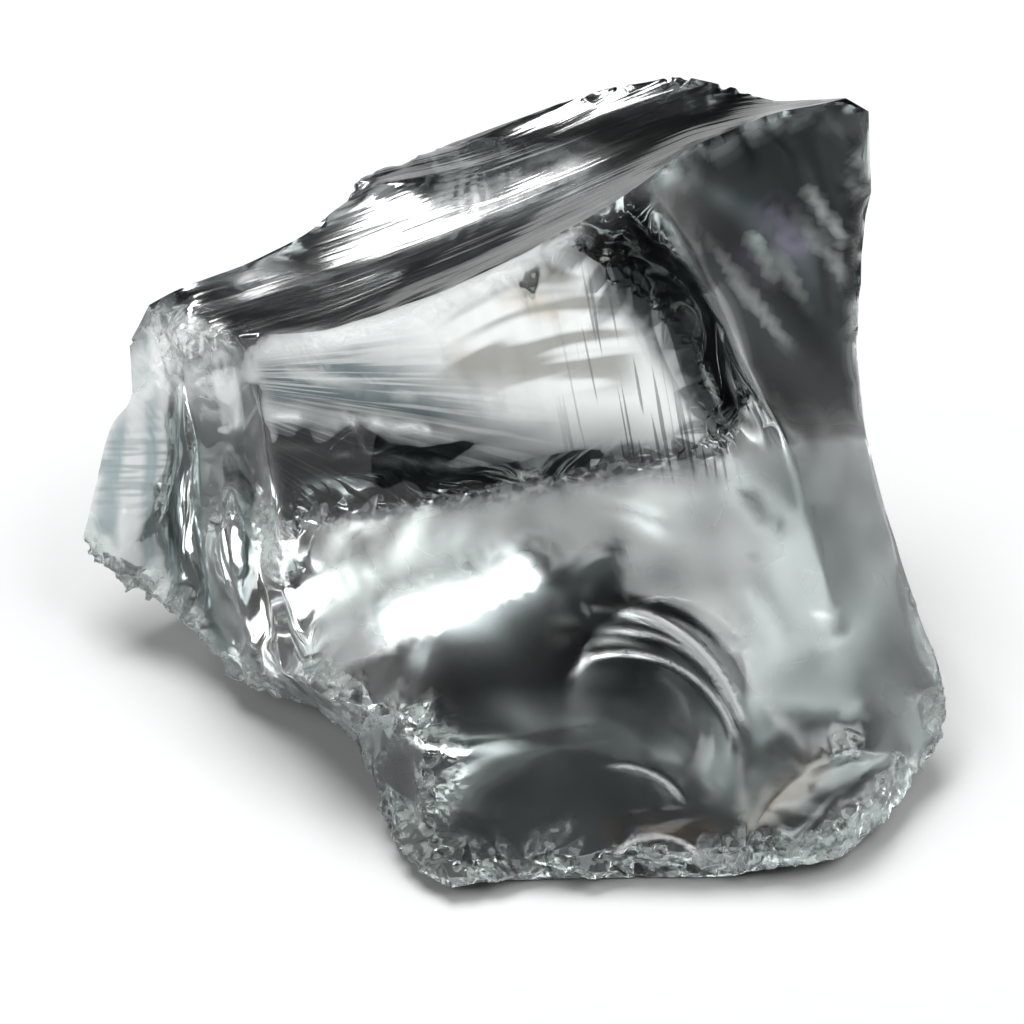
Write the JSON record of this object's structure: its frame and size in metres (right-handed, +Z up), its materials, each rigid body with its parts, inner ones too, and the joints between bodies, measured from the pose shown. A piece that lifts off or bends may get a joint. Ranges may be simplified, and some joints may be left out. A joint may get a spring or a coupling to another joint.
{
  "type": "andara glass chunk",
  "caption": "Clear broken lump of glass with curved fracture faces, chipped rims and a flat base it rests on.",
  "frame": {"origin": "on the flat base, in the plane of the table, under the middle of the chunk", "axes": "+Z up, +X along the chunk's greatest width, the large sloping main face towards -Y"},
  "size_m": [0.0608, 0.0492, 0.0385],
  "materials": {
    "clear_glass": "clear glass with smooth fracture faces and frosted, chipped rims"
  },
  "bodies": {
    "root": {"glass_chunk": "clear_glass"}
  },
  "joints": []
}
